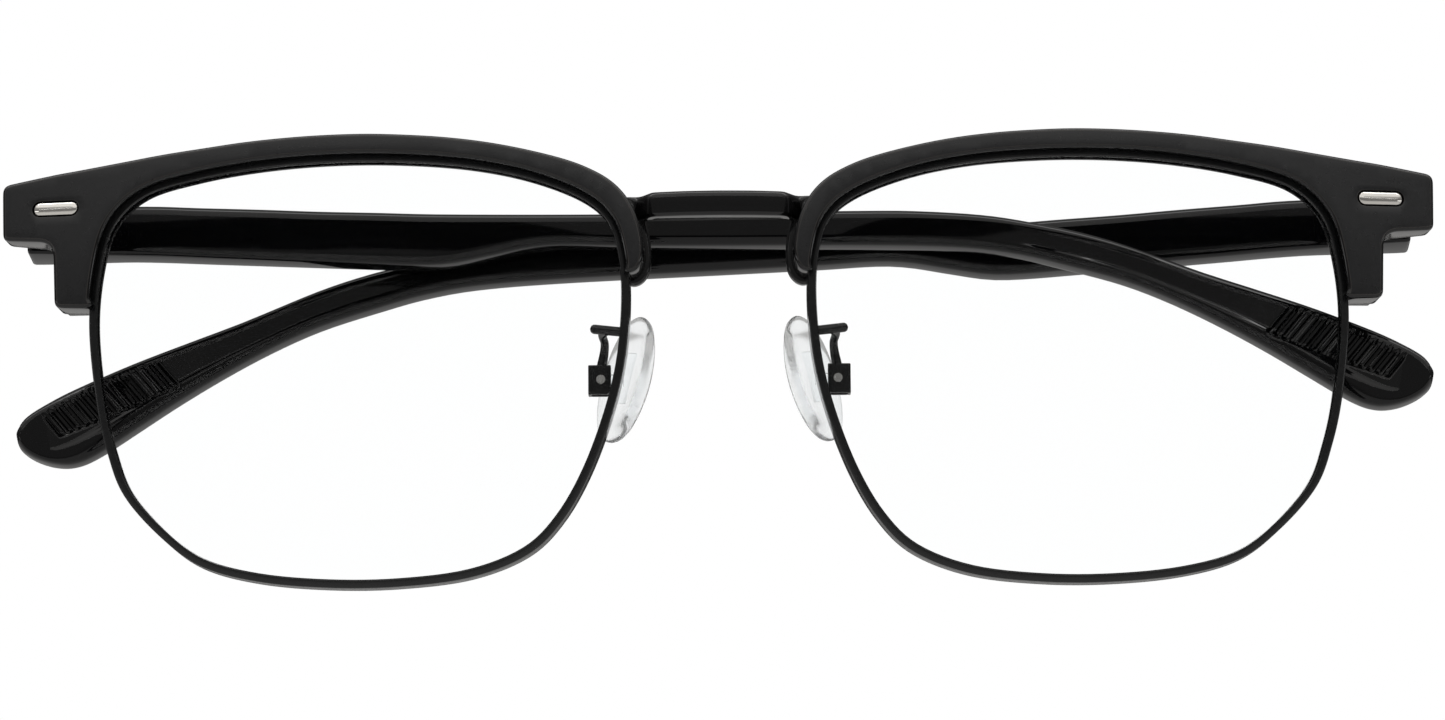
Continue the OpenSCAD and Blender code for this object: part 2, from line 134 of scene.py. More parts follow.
def outward(p):
    """Unit normals of a closed anticlockwise outline, pointing out."""
    t = np.roll(p, -1, 0) - np.roll(p, 1, 0)
    t /= np.linalg.norm(t, axis=1)[:, None] + 1e-12
    return np.c_[t[:, 1], -t[:, 0]]


def smooth(v, times=1):
    for _ in range(times):
        v = 0.25 * np.roll(v, 1, 0) + 0.5 * v + 0.25 * np.roll(v, -1, 0)
    return v


def corners(spec, m=6):
    """Points along corners (x, y, radius); the first and last corner are kept sharp."""
    out = [spec[0][:2]]
    for a, b, c in zip(spec[:-2], spec[1:-1], spec[2:]):
        out += list(round_corner(a[:2], b[:2], c[:2], b[2], m))
    out.append(spec[-1][:2])
    return np.array(out)


def round_corner(a, b, c, r, m=6):
    a, b, c = map(lambda v: np.array(v, float), (a, b, c))
    u, v = (a - b) / np.linalg.norm(a - b), (c - b) / np.linalg.norm(c - b)
    half = math.acos(max(-1, min(1, float(u @ v)))) / 2
    d = min(r / math.tan(half), 0.49 * np.linalg.norm(a - b), 0.49 * np.linalg.norm(c - b))
    r = d * math.tan(half)
    centre = b + (u + v) / np.linalg.norm(u + v) * r / math.sin(half)
    p, q = b + u * d, b + v * d
    a0, a1 = math.atan2(*(p - centre)[::-1]), math.atan2(*(q - centre)[::-1])
    while a1 - a0 > math.pi:
        a1 -= 2 * math.pi
    while a1 - a0 < -math.pi:
        a1 += 2 * math.pi
    return [centre + r * np.array([math.cos(t), math.sin(t)]) for t in np.linspace(a0, a1, m)]


def rounded(spec, m=6):
    """Closed outline from corners (x, y, radius)."""
    n = len(spec)
    out = []
    for i in range(n):
        out += round_corner(spec[i - 1][:2], spec[i][:2], spec[(i + 1) % n][:2], spec[i][2], m)
    return np.array(out)


# ---------------------------------------------------------------- meshes
class Build:
    """Collects vertices and faces."""

    def __init__(self):
        self.v, self.f, self.n = [], [], 0

    def add(self, pts):
        pts = np.asarray(pts, float)
        start = self.n
        self.v.append(pts)
        self.n += len(pts)
        return np.arange(start, self.n)

    def strip(self, a, b, closed=True):
        n = len(a)
        for i in range(n if closed else n - 1):
            j = (i + 1) % n
            self.f.append((a[i], a[j], b[j], b[i]))

    def cap(self, idx, flat, lift, spacing, flip=False, holes=()):
        """Fills the outline whose vertices are idx and 2-D points are flat; lift maps 2-D to 3-D.
        holes are (indices, 2-D points) of inner outlines."""
        lo, hi = flat.min(0), flat.max(0)
        gx = np.arange(lo[0] + spacing * 0.53, hi[0], spacing)
        gy = np.arange(lo[1] + spacing * 0.47, hi[1], spacing)
        g = np.array([(x + (0.5 * spacing if k % 2 else 0), y)
                      for k, y in enumerate(gy) for x in gx]).reshape(-1, 2)
        keep = inside(g, flat) & (distance(g, flat) > 0.42 * spacing)
        for _, hp in holes:
            keep &= ~inside(g, hp) & (distance(g, hp) > 0.42 * spacing)
        g = g[keep]
        pts = [flat] + [hp for _, hp in holes] + ([g] if len(g) else [])
        ids = [idx] + [hole_idx for hole_idx, _ in holes]
        if len(g):
            ids.append(self.add(lift(g)))
        ids = np.concatenate(ids)
        all2 = np.vstack(pts)
        edges, k = [], 0
        for ring in [flat] + [hp for _, hp in holes]:
            m = len(ring)
            edges += [(k + i, k + (i + 1) % m) for i in range(m)]
            k += m
        res = delaunay_2d_cdt([Vector(p) for p in all2], edges, [], 0, 1e-7)
        src = [o[0] if o else -1 for o in res[3]]
        faces = np.array([[src[a] for a in f] for f in res[2] if all(src[a] >= 0 for a in f)])
        mid = all2[faces].mean(1)
        ok = inside(mid, flat)
        for _, hp in holes:
            ok &= ~inside(mid, hp)
        for tri in faces[ok]:
            p = all2[tri]
            turn = np.cross(p[1] - p[0], p[2] - p[0])
            if abs(turn) < 1e-9:
                continue
            tri = tri if (turn > 0) != flip else tri[::-1]
            self.f.append(tuple(int(ids[t]) for t in tri))

    def object(self, name, material, mirror=False, sharp=None, edge=None):
        v = np.vstack(self.v) * MM
        faces = [tuple(int(i) for i in f) for f in self.f]
        if mirror:
            v = v * np.array([-1, 1, 1])
            faces = [f[::-1] for f in faces]
        me = bpy.data.meshes.new(name)
        me.from_pydata([tuple(p) for p in v], [], faces)
        me.validate()
        me.update()
        for p in me.polygons:
            p.use_smooth = True
        if sharp:
            me.set_sharp_from_angle(angle=math.radians(sharp))
        if edge is not None:
            me.attributes.new("edge", "FLOAT", "POINT").data.foreach_set("value", edge)
        o = bpy.data.objects.new(name, me)
        bpy.context.collection.objects.link(o)
        me.materials.append(material)
        return o


def inside(q, poly):
    """Even-odd test of the points q in the outline poly."""
    x, y = q[:, 0][:, None], q[:, 1][:, None]
    a, b = poly, np.roll(poly, -1, 0)
    cross = (a[:, 1] > y) != (b[:, 1] > y)
    with np.errstate(divide="ignore", invalid="ignore"):
        at = (b[:, 0] - a[:, 0]) * (y - a[:, 1]) / (b[:, 1] - a[:, 1] + 1e-30) + a[:, 0]
    return (np.sum(cross & (x < at), axis=1) % 2) == 1


def distance(q, poly):
    """Distance from the points q to the outline poly."""
    a, b = poly, np.roll(poly, -1, 0)
    d = b - a
    best = np.full(len(q), 1e9)
    for i in range(len(a)):
        t = np.clip(((q - a[i]) @ d[i]) / (d[i] @ d[i] + 1e-12), 0, 1)
        best = np.minimum(best, np.linalg.norm(q - a[i] - t[:, None] * d[i], axis=1))
    return best


# quarter round of an edge, from the flat face (inset 1, depth 0) to the side wall (inset 0, depth 1)
ARC = [(1 - math.sin(t), 1 - math.cos(t)) for t in np.linspace(0, math.pi / 2, 6)]


def solid(b, outline, r0, r1, place, spacing, extra=(), hole=None):
    """A slab with rounded edges. outline is anticlockwise; r0 and r1 are the edge radii on the
    near and far face, single or per point. place(flat, face, depth) gives 3-D points, where depth
    is measured inwards from face 0 or 1. extra is a list of (offset, depth) rings between, both
    from face 0."""
    n = outward(outline)
    r0 = np.broadcast_to(np.asarray(r0, float), len(outline))[:, None]
    r1 = np.broadcast_to(np.asarray(r1, float), len(outline))[:, None]
    rings = []
    for i, d in ARC:
        flat = outline - n * r0 * i
        rings.append((b.add(place(flat, 0, (r0 * d)[:, 0])), flat))
    base = outline
    for off, d in extra:
        base = outline + n * np.broadcast_to(np.asarray(off, float), len(outline))[:, None]
        rings.append((b.add(place(base, 0, np.full(len(base), float(d)))), base))
    for i, d in ARC[::-1]:
        flat = base - n * r1 * i
        rings.append((b.add(place(flat, 1, (r1 * d)[:, 0])), flat))
    for (p, _), (q, _) in zip(rings[:-1], rings[1:]):
        b.strip(p, q)
    first, last = rings[0], rings[-1]
    b.cap(first[0], first[1], lambda g: place(g, 0, np.zeros(len(g))), spacing, True,
          [hole] if hole else ())
    b.cap(last[0], last[1], lambda g: place(g, 1, np.zeros(len(g))), spacing)


def tube(b, path, r, sides=20):
    """A round bar along a 3-D path."""
    p = np.asarray(path, float)
    t = np.gradient(p, axis=0)
    t /= np.linalg.norm(t, axis=1)[:, None]
    ref = np.array([0.0, 0.0, 1.0]) if abs(t[0][2]) < 0.9 else np.array([1.0, 0, 0])
    side = np.cross(t[0], ref)
    side /= np.linalg.norm(side)
    rings = []
    ang = np.linspace(0, 2 * math.pi, sides, endpoint=False)
    rr = np.broadcast_to(np.asarray(r, float), len(p))
    for k in range(len(p)):
        side = side - t[k] * (side @ t[k])
        side /= np.linalg.norm(side)
        up = np.cross(t[k], side)
        ring = p[k] + rr[k] * (np.cos(ang)[:, None] * side + np.sin(ang)[:, None] * up)
        rings.append(b.add(ring))
    for x, y in zip(rings[:-1], rings[1:]):
        b.strip(x[::-1], y[::-1])
    b.f.append(tuple(rings[0]))
    b.f.append(tuple(rings[-1][::-1]))


# ---------------------------------------------------------------- frames of the CAD
def rot(axis, deg):
    return np.array(Matrix.Rotation(math.radians(deg), 3, axis))


R_LENS = rot("Z", WRAP)
R_HINGE = rot("X", -PANTO)
R_PAD = rot("Y", -PAD_LEAN) @ rot("Z", PAD_TURN)


def from_lens(p):
    return np.asarray(p) @ R_LENS.T + np.array([LENS_X, 0, 0])


def sphere_y(u, z, depth):
    r = BASE_R - depth
    return BASE_R - np.sqrt(r * r - u * u - z * z)


def on_front(flat, depth):
    """2-D points of the lens plane on the sphere at that depth."""
    u, z = flat[:, 0], flat[:, 1]
    return np.c_[u, sphere_y(u, z, depth), z]


def from_hinge(p, turn=0.0):
    return np.asarray(p) @ rot("Z", turn).T @ R_HINGE.T + HINGE


def from_pad(p):
    return np.asarray(p) @ R_PAD.T + PAD_P


# ---------------------------------------------------------------- materials
def principled(name, color, rough, metallic=0.0, grain=(900, 0.04, 0.10), stretch=(1, 1, 1),
               tint=0.12, **more):
    """A finish whose colour, roughness and surface vary with noise. grain is the noise's scale per
    metre, how far the roughness goes either way, and the strength of the bump."""
    m = bpy.data.materials.new(name)
    m.use_nodes = True
    nt = m.node_tree
    s = nt.nodes["Principled BSDF"]
    s.inputs["Base Color"].default_value = (*color, 1)
    s.inputs["Roughness"].default_value = rough
    s.inputs["Metallic"].default_value = metallic
    for k, v in more.items():
        s.inputs[k.replace("_", " ")].default_value = v
    m.diffuse_color = (*color, 1)
    scale, spread, strength = grain
    coord = nt.nodes.new("ShaderNodeTexCoord")
    place = nt.nodes.new("ShaderNodeMapping")
    place.inputs["Scale"].default_value = stretch
    nt.links.new(coord.outputs["Object"], place.inputs["Vector"])

    def noise(size, detail):
        n = nt.nodes.new("ShaderNodeTexNoise")
        n.inputs["Scale"].default_value = size
        n.inputs["Detail"].default_value = detail
        nt.links.new(place.outputs["Vector"], n.inputs["Vector"])
        return n.outputs["Fac"]

    def ranged(fac, low, high):
        r = nt.nodes.new("ShaderNodeMapRange")
        r.inputs["From Min"].default_value = 0.3
        r.inputs["From Max"].default_value = 0.7
        r.inputs["To Min"].default_value = low
        r.inputs["To Max"].default_value = high
        nt.links.new(fac, r.inputs["Value"])
        return r.outputs[0]

    nt.links.new(ranged(noise(scale, 4), max(rough - spread, 0.02), rough + spread),
                 s.inputs["Roughness"])
    mix = nt.nodes.new("ShaderNodeMix")
    mix.name = "tint"
    mix.data_type = "RGBA"
    mix.inputs["A"].default_value = (*[c * (1 - tint) for c in color], 1)
    mix.inputs["B"].default_value = (*[min(c * (1 + tint), 1) for c in color], 1)
    nt.links.new(ranged(noise(scale * 0.15, 3), 0, 1), mix.inputs["Factor"])
    nt.links.new(mix.outputs["Result"], s.inputs["Base Color"])
    bump = nt.nodes.new("ShaderNodeBump")
    bump.inputs["Strength"].default_value = strength
    bump.inputs["Distance"].default_value = 0.00002
    nt.links.new(noise(scale * 2.5, 5), bump.inputs["Height"])
    nt.links.new(bump.outputs["Normal"], s.inputs["Normal"])
    return m


def polished_edges_painted_light(m, edge_shade, line):
    """Where the mesh's edge value rises, first a thin painted highlight line and then a polished
    edge painted dark as shade.
    """
    nt = m.node_tree
    s = nt.nodes["Principled BSDF"]
    edge = nt.nodes.new("ShaderNodeAttribute")
    edge.attribute_name = "edge"
    last = nt.nodes["tint"].outputs["Result"]
    # the first colour is a thin painted highlight line along the edge, the second a painted shade
    # that darkens the polished edge
    for low, high, color in ((0.02, 0.12, line), (0.18, 0.45, edge_shade)):
        step = nt.nodes.new("ShaderNodeMapRange")
        step.interpolation_type = "SMOOTHSTEP"
        step.inputs["From Min"].default_value = low
        step.inputs["From Max"].default_value = high
        nt.links.new(edge.outputs["Fac"], step.inputs["Value"])
        mix = nt.nodes.new("ShaderNodeMix")
        mix.data_type = "RGBA"
        mix.inputs["B"].default_value = (*color, 1)
        nt.links.new(step.outputs[0], mix.inputs["Factor"])
        nt.links.new(last, mix.inputs["A"])
        last = mix.outputs["Result"]
    nt.links.new(last, s.inputs["Base Color"])
    rough = s.inputs["Roughness"].links[0].from_socket
    gloss = nt.nodes.new("ShaderNodeMix")
    gloss.inputs["B"].default_value = 0.10
    nt.links.new(step.outputs[0], gloss.inputs["Factor"])
    nt.links.new(rough, gloss.inputs["A"])
    nt.links.new(gloss.outputs["Result"], s.inputs["Roughness"])


M_BROW = principled("brow_satin", (0.0088, 0.0090, 0.0100), 0.30, grain=(2600, 0.03, 0.12))
# the brow's edges get a painted highlight line and a painted dark shade, with a glossier finish
polished_edges_painted_light(M_BROW, (0.002, 0.002, 0.0024), (0.034, 0.031, 0.029))
M_TEMPLE = principled("temple_gloss", (0.0022, 0.0023, 0.0027), 0.07, grain=(700, 0.02, 0.03),
                      Specular_IOR_Level=0.36)
M_BRIDGE = principled("bridge_gloss", (0.004, 0.004, 0.0045), 0.10, grain=(900, 0.03, 0.05))
M_WIRE = principled("wire_black", (0.006, 0.0065, 0.007), 0.22, grain=(1800, 0.06, 0.12))
M_PILL = principled("pill_polished", (0.80, 0.775, 0.73), 0.12, 1.0, grain=(1500, 0.05, 0.10),
                    stretch=(0.12, 1, 1), tint=0.10)
M_DARK = principled("dark_plated", (0.05, 0.05, 0.055), 0.3, 1.0, grain=(2500, 0.08, 0.2),
                    stretch=(1, 1, 0.15))
M_BRIGHT = principled("screw_bright", (0.75, 0.75, 0.73), 0.22, 1.0, grain=(3000, 0.08, 0.2),
                      stretch=(1, 1, 0.2))
M_CORE = principled("core_plain", (0.5, 0.5, 0.5), 0.4, 1.0, grain=(2000, 0.1, 0.3),
                    stretch=(1, 0.05, 1))
M_PAD = principled("pad_silicone", (0.97, 0.985, 0.99), 0.14, 0.0, grain=(260, 0.10, 0.35),
                   stretch=(1, 1, 0.4), tint=0.02, Transmission_Weight=0.94, IOR=1.33)
M_PLATE = principled("pad_plate", (0.96, 0.975, 0.98), 0.15, 0.0, grain=(900, 0.05, 0.1), tint=0.02,
                     Transmission_Weight=1.0, IOR=1.04)


def lens_material():
    m = bpy.data.materials.new("lens_clear")
    m.use_nodes = True
    nt = m.node_tree
    nt.nodes.clear()
    out = nt.nodes.new("ShaderNodeOutputMaterial")
    mix = nt.nodes.new("ShaderNodeMixShader")
    clear = nt.nodes.new("ShaderNodeBsdfTransparent")
    clear.inputs["Color"].default_value = (0.997, 0.999, 0.999, 1)
    shine = nt.nodes.new("ShaderNodeBsdfGlossy")
    shine.inputs["Roughness"].default_value = 0.02
    lay = nt.nodes.new("ShaderNodeLayerWeight")
    lay.inputs["Blend"].default_value = 0.04
    nt.links.new(lay.outputs["Fresnel"], mix.inputs["Fac"])
    nt.links.new(clear.outputs["BSDF"], mix.inputs[1])
    nt.links.new(shine.outputs["BSDF"], mix.inputs[2])
    nt.links.new(mix.outputs["Shader"], out.inputs["Surface"])
    return m


M_LENS = lens_material()


# ---------------------------------------------------------------- brow pieces
PILL_C, PILL_L, PILL_W = np.array([31.7, 18.4]), 4.7, 1.4


def pill_outline(grow, m=14):
    r, h = PILL_W / 2 + grow, (PILL_L - PILL_W) / 2
    a = np.linspace(-math.pi / 2, math.pi / 2, m)
    right = np.c_[h + r * np.cos(a), r * np.sin(a)]
    left = np.c_[-h - r * np.cos(a), -r * np.sin(a)]
    p = np.vstack([right, left])
    c, s = math.cos(math.radians(2)), math.sin(math.radians(2))
    return p @ np.array([[c, s], [-s, c]]) + PILL_C


def rim_curve(off, m=8):
    p = curve(RIM, m, True)
    return p + outward(p) * off


def brow_outline():
    """The brow's outline, and which of its points are on the edge along the rim."""
    inner = rim_curve(0.26, 10)[::-1]  # clockwise: nasal end first going up, then to the leg
    k = np.argmin(np.hypot(inner[:, 0] + 25.8, inner[:, 1] - 11.3))
    inner = np.roll(inner, -k, axis=0)
    j = np.argmin(np.hypot(inner[:, 0] - 27.5, inner[:, 1] - 8.5))
    inner = inner[: j + 1]
    leg = corners([(27.5, 9.5, 0)] + BROW_LEG + [(34, 21.85, 0)])[1:-1]
    top = curve(BROW_TOP, 6)[8:]
    whole = np.vstack([top, inner, leg])
    mark = np.r_[np.zeros(len(top)), np.ones(len(inner)), np.zeros(len(leg))]
    q = even(np.c_[whole, mark], 0.22)
    pts, mark = q[:, :2], (q[:, 2] > 0.5).astype(float)
    if area(pts) < 0:
        pts, mark = pts[::-1], mark[::-1]
    return smooth(pts, 3), smooth(mark, 4)


def brow_back(u, z):
    """Depth of the rear face behind the origin plane: the shell, and the hinge block's face."""
    shell = sphere_y(u, z, BROW_T)
    world = from_lens(np.c_[u, shell, z])
    phi = math.radians(PANTO)
    plane_w = HINGE[1] + (-BUTT + (world[:, 2] - HINGE[2]) * math.sin(phi)) / math.cos(phi)
    # the hinge plane in lens coordinates, near enough along y
    plane = shell + (plane_w - world[:, 1]) / math.cos(math.radians(WRAP))
    block = np.minimum(plane, 4 + (u - 28.6) / math.tan(math.radians(35)))
    low = np.clip((z - 14.3) / 0.5, 0, 1)
    low = low * low * (3 - 2 * low)
    return np.minimum(plane, shell + low * np.maximum(block - shell, 0))


def make_brow(side):
    b = Build()
    outline, mark = brow_outline()

    def place(flat, face, depth):
        u, z = flat[:, 0], flat[:, 1]
        y = brow_back(u, z) - depth if face else sphere_y(u, z, depth)
        return from_lens(np.c_[u, y, z])

    lip = WIRE_SET - 0.02  # the edge over the wire ends just in front of it
    hole2 = pill_outline(0.2)
    hole = b.add(place(hole2, 0, np.zeros(len(hole2))))
    solid(b, outline, 0.38, 0.35, place, 0.8,
          extra=[(0.0, lip), (-0.19 * mark, lip + 0.01)], hole=(hole, hole2))
    # recess round the pill
    rings = [hole]
    for g, d in ((0.15, 0.02), (0.12, 0.08), (0.12, 0.62)):
        q = pill_outline(g)
        rings.append(b.add(place(q, 0, np.full(len(q), d))))
    for p, q in zip(rings[:-1], rings[1:]):
        b.strip(p[::-1], q[::-1])
    b.f.append(tuple(int(i) for i in rings[-1][::-1]))
    flat = (np.vstack(b.v) - np.array([LENS_X, 0, 0])) @ R_LENS
    behind = flat[:, 1] - sphere_y(flat[:, 0], flat[:, 2], 0)
    # the edge value masks the brow's painted edge highlight, painted edge shade and glossier edge
    # finish
    return b.object(f"vis_brow_{side}", M_BROW, side == "right", 40,
                    edge=np.clip(behind / 0.06, 0, 1).astype(np.float32))


def make_pill(side):
    b = Build()
    rings = []
    # (how far outside the pill's outline, depth behind the brow's face)
    crown = [(-0.55, -0.15), (-0.4, -0.125), (-0.25, -0.08), (-0.12, -0.02), (-0.04, 0.05),
             (0.0, 0.15), (0.0, 0.58)]
    for g, d in crown:
        q = pill_outline(g)
        rings.append(b.add(from_lens(on_front(q, d))))
    b.f.append(tuple(int(i) for i in rings[0][::-1]))
    for p, q in zip(rings[:-1], rings[1:]):
        b.strip(p, q)
    b.f.append(tuple(int(i) for i in rings[-1]))
    return b.object(f"vis_inlay_{side}", M_PILL, side == "right")


# ---------------------------------------------------------------- rims and lenses
GROOVE_HALF, TONGUE_HALF = 0.45, 0.43
LOCK_X, LOCK_Y, LOCK_HALVES = (27.8, 30.85), (5.6, 8.8), ((8.0, 9.62), (9.78, 11.4))


def make_rim(side):
    b = Build()
    mid = rim_curve(0, 10)
    n = outward(mid)
    w, t, c = WIRE_W / 2, WIRE_T, 0.16
    # cross-section: (offset from the middle line, depth behind the rim's front edge)
    sec = []
    for cx, cy, a0 in ((w - c, c, -90), (w - c, t - c, 0), (-w + c, t - c, 90)):
        for k in range(5):
            a = math.radians(a0 + k * 22.5)
            sec.append((cx + c * math.cos(a), cy + c * math.sin(a)))
    # the groove for the lens
    g0, g1 = t / 2 + GROOVE_HALF, t / 2 - GROOVE_HALF
    sec += [(-w, g0 + 0.05), (-w + 0.04, g0), (0.05, g0), (0.05, g1), (-w + 0.04, g1),
            (-w, g1 - 0.05)]
    for k in range(5):
        a = math.radians(180 + k * 22.5)
        sec.append((-w + c + c * math.cos(a), c + c * math.sin(a)))
    rings = []
    for off, d in sec:
        rings.append(b.add(from_lens(on_front(mid + n * off, WIRE_SET + d))))
    for p, q in zip(rings, rings[1:] + rings[:1]):
        b.strip(p, q)
    # lock block behind the leg, in two halves
    (x0, x1), (y0, y1) = LOCK_X, LOCK_Y
    for z0, z1 in LOCK_HALVES:
        box = rounded([(x0, z0, 0.25), (x1, z0, 0.25), (x1, z1, 0.25), (x0, z1, 0.25)], 5)
        solid(b, box, 0.15, 0.15, lambda flat, face, d: from_lens(
            np.c_[flat[:, 0], y0 + d if face == 0 else y1 - d, flat[:, 1]]), 1.0)
    return b.object(f"vis_rim_{side}", M_WIRE, side == "right", 40)


def make_lens(side):
    b = Build()
    edge = rim_curve(-WIRE_W / 2 - 0.05, 6)
    centre = edge.mean(0)
    faces = []
    for d, flip in ((MID_D - LENS_T / 2, False), (MID_D + LENS_T / 2, True)):
        rings = [b.add(from_lens(on_front(centre + (edge - centre) * s, d)))
                 for s in np.linspace(1, 0.04, 16)]
        for p, q in zip(rings[:-1], rings[1:]):
            b.strip(*((p[::-1], q[::-1]) if not flip else (p, q)))
        b.f.append(tuple(int(i) for i in (rings[-1][::-1] if not flip else rings[-1])))
        faces.append(rings[0])
    tongue = rim_curve(-0.02, 6)
    rr = [faces[0]]
    near, far = MID_D - TONGUE_HALF, MID_D + TONGUE_HALF
    for pts, d in ((edge, near), (tongue, near), (tongue, far), (edge, far)):
        rr.append(b.add(from_lens(on_front(pts, d))))
    rr.append(faces[1])
    for p, q in zip(rr[:-1], rr[1:]):
        b.strip(p, q)
    return b.object(f"vis_lens_{side}", M_LENS, side == "right", 35)


# ---------------------------------------------------------------- bridge
def make_bridge():
    b = Build()
    z0, z1 = 16.5, 19.05
    bends = (0.2, 0.2, 0.5, 1.2, 6, 9, 6, 1.2, 0.5, 0.2, 0.2, 0.5, 2, 9, 2, 0.5)
    plan = rounded([(x, y, r) for (x, y), r in zip(BAR, bends)], 5)
    plan = smooth(even(plan, 0.2), 3)
    if area(plan) < 0:
        plan = plan[::-1]
    n = outward(plan)
    front = smooth(((n[:, 1] < -0.3) & (np.abs(plan[:, 0]) < 8.6)).astype(float), 4)

    def place(flat, face, depth):
        x = flat[:, 0]
        arch = 0.12 * (1 - (x / 9.0) ** 2)
        z = (z1 + arch - depth) if face == 0 else (z0 + arch * 0.5 + depth)
        return np.c_[x, flat[:, 1], z]

    solid(b, plan, 0.35, 0.25 + 0.5 * front, lambda f, s, d: place(f, 1 - s, d), 0.7)
    for sx in (1, -1):
        foot_b = Build()
        foot = smooth(even(curve(FOOT, 5, True), 0.2), 2)
        if area(foot) < 0:
            foot = foot[::-1]
        solid(foot_b, foot, 0.3, 0.3,
              lambda flat, face, d: from_lens(on_front(
                  flat, BROW_T + 0.02 + d if face == 0 else BROW_T + 1.2 - d)), 0.6)
        v = np.vstack(foot_b.v) * np.array([sx, 1, 1])
        start = b.n
        b.add(v)
        b.f += [tuple(start + i for i in (f if sx > 0 else f[::-1])) for f in foot_b.f]
    return b.object("vis_bridge", M_BRIDGE, False, 60)


# ---------------------------------------------------------------- nose pads and their arms
PAD_HOLLOW, PAD_ROUND = 22.1, 18.5  # radii of the pad's two faces


def make_pad(side):
    """A soft pillow between the two faces of the CAD pad, closed by a round edge."""
    b = Build()
    out = even(curve(PAD, 6, True), 0.4)
    if area(out) < 0:
        out = out[::-1]
    centre = out.mean(0)
    levels = [1.0, 0.995, 0.98, 0.955, 0.92, 0.87, 0.8, 0.7, 0.58, 0.45, 0.3, 0.15]

    def faces(f, sign):
        p = centre + (out - centre) * f
        d2 = (p ** 2).sum(1)
        y0 = 21 - np.sqrt(PAD_HOLLOW ** 2 - d2)
        y1 = -17.4 + np.sqrt(PAD_ROUND ** 2 - d2)
        half = np.maximum((y1 - y0) / 2, 0.42) * math.sqrt(1 - f ** 7)
        return from_pad(np.c_[p[:, 0], (y0 + y1) / 2 + sign * half, p[:, 1]])

    edge = b.add(faces(1.0, 0))
    for sign in (-1, 1):
        prev = edge
        for f in levels[1:]:
            ring = b.add(faces(f, sign))
            b.strip(*((prev[::-1], ring[::-1]) if sign < 0 else (prev, ring)))
            prev = ring
        b.f.append(tuple(int(i) for i in (prev[::-1] if sign < 0 else prev)))
    b.f = [f[::-1] for f in b.f]
    return b.object(f"vis_nose_pad_{side}", M_PAD, side == "right")


def make_arm(side):
    b = Build()
    bar = even(np.array(ARM_BAR), 0.15, False)
    along = np.linspace(0, 1, len(bar))
    end = np.clip((along - 0.86) / 0.14, 0, 1)  # the free end is rounded
    tube(b, bar, 0.48 * np.sqrt(np.clip(1.02 - end ** 2, 0.02, 1)))
    wire = curve(ARM_WIRE, 8)
    along = np.linspace(0, 1, len(wire))
    tube(b, wire, 0.50 - 0.09 * np.sin(math.pi * np.clip(along * 1.15, 0, 1)))  # thinner midway
    hx, hy, hz = BOX[0] / 2 + 0.12, BOX[1] / 2 - 0.12, BOX[2] / 2 + 0.1
    pad_side = BOX[0] / 2 - 0.14  # kept clear of the pad as that rocks
    bx, by, bz = BOX_P
    slot_half = 0.46
    # two cheeks, with the pad's tab between them, then the web and the roof that join them
    for y0, y1 in ((by - hy, by - slot_half), (by + slot_half, by + hy)):
        box = rounded([(bx - pad_side, bz - hz, 0.45), (bx + hx, bz - hz, 0.45),
                       (bx + hx, bz + hz, 0.45), (bx - pad_side, bz + hz, 0.45)], 6)
        solid(b, box, 0.12, 0.12, lambda f, s, d: np.c_[
            f[:, 0], y0 + d if s == 0 else y1 - d, f[:, 1]], 1.0)
    for x0, z0 in ((bx + 0.95, bz - hz), (bx - pad_side, bz + 1.0)):
        box = rounded([(x0, z0, 0.1), (bx + hx, z0, 0.1), (bx + hx, bz + hz, 0.1),
                       (x0, bz + hz, 0.1)], 3)
        solid(b, box, 0.03, 0.03, lambda f, s, d: np.c_[
            f[:, 0], by - hy + 0.1 + d if s == 0 else by + hy - 0.1 - d, f[:, 1]], 1.0)
    return b.object(f"vis_pad_arm_{side}", M_WIRE, side == "right", 50)


# ---------------------------------------------------------------- temples
def plan_in(s):
    return np.interp(s, [-4.2, 30, 60, 95, 115, 130, 141],
                     FACE + np.array([0, 0, 0.15, 0.1, -0.3, -0.9, -1.5]))


def plan_out(s):
    return np.interp(s, [-4.2, 30, 60, 95, 115, 130, 141],
                     FACE + TEMPLE_T + np.array([0, -0.2, -0.4, -0.45, -0.7, -1.2, -2.2]))


RIB_FROM, RIB_PITCH, RIBS, RIB_HALF = 123.9, 0.81, 15, 2.0
RIB_Z, TIP_SLOPE = -11.25, 0.41  # height of the ribs' middle line at 121, and its fall
RIB_SUNK, RIB_HIGH, SCOOP_DEEP = 0.22, 0.36, 0.30
LEAN = math.radians(40)
BARREL_ROOM = 1.45  # radius of the groove across the inner face that clears the hinge barrel
ACROSS = 40  # points across the inner face of a temple


def rib_relief(s, z):
    """How far the inner face is cut in (or raised, where negative) around the ribs of the tip."""
    line = RIB_Z - TIP_SLOPE * (s - 121)
    # along the ribs, and across them from the first one
    a = (z - line) / (math.cos(LEAN) + TIP_SLOPE * math.sin(LEAN))
    foot = s - a * math.sin(LEAN)
    k = (foot - RIB_FROM) / RIB_PITCH
    field = step((k + 0.75) / 0.5) * step((RIBS - 0.25 - k) / 0.5)
    ends = step((RIB_HALF + 0.12 - np.abs(a)) / 0.3)
    ridge = np.abs(((k + 0.5) % 1.0) - 0.5) * 2  # 0 on a rib's crest, 1 in the groove
    crest = step((0.70 - ridge) / 0.34) * step((RIB_HALF - 0.1 - np.abs(a)) / 0.35)
    inside_k = (k > -0.5) & (k < RIBS - 0.5)
    return field * ends * RIB_SUNK - RIB_HIGH * crest * inside_k


def step(t):
    t = np.clip(t, 0, 1)
    return t * t * (3 - 2 * t)


def scoop(s, v):
    """The shallow facet along the inner face before and under the ribs, with a crisp crest above
    it; v is 0 at the lower edge and 1 at the upper one."""
    along = step((s - 97) / 12) * step((137.5 - s) / 3)
    crest = 0.74 + 0.12 * step((s - 104) / 18)
    return SCOOP_DEEP * along * step((v - 0.20) / 0.12) * step((crest - v) / 0.07)


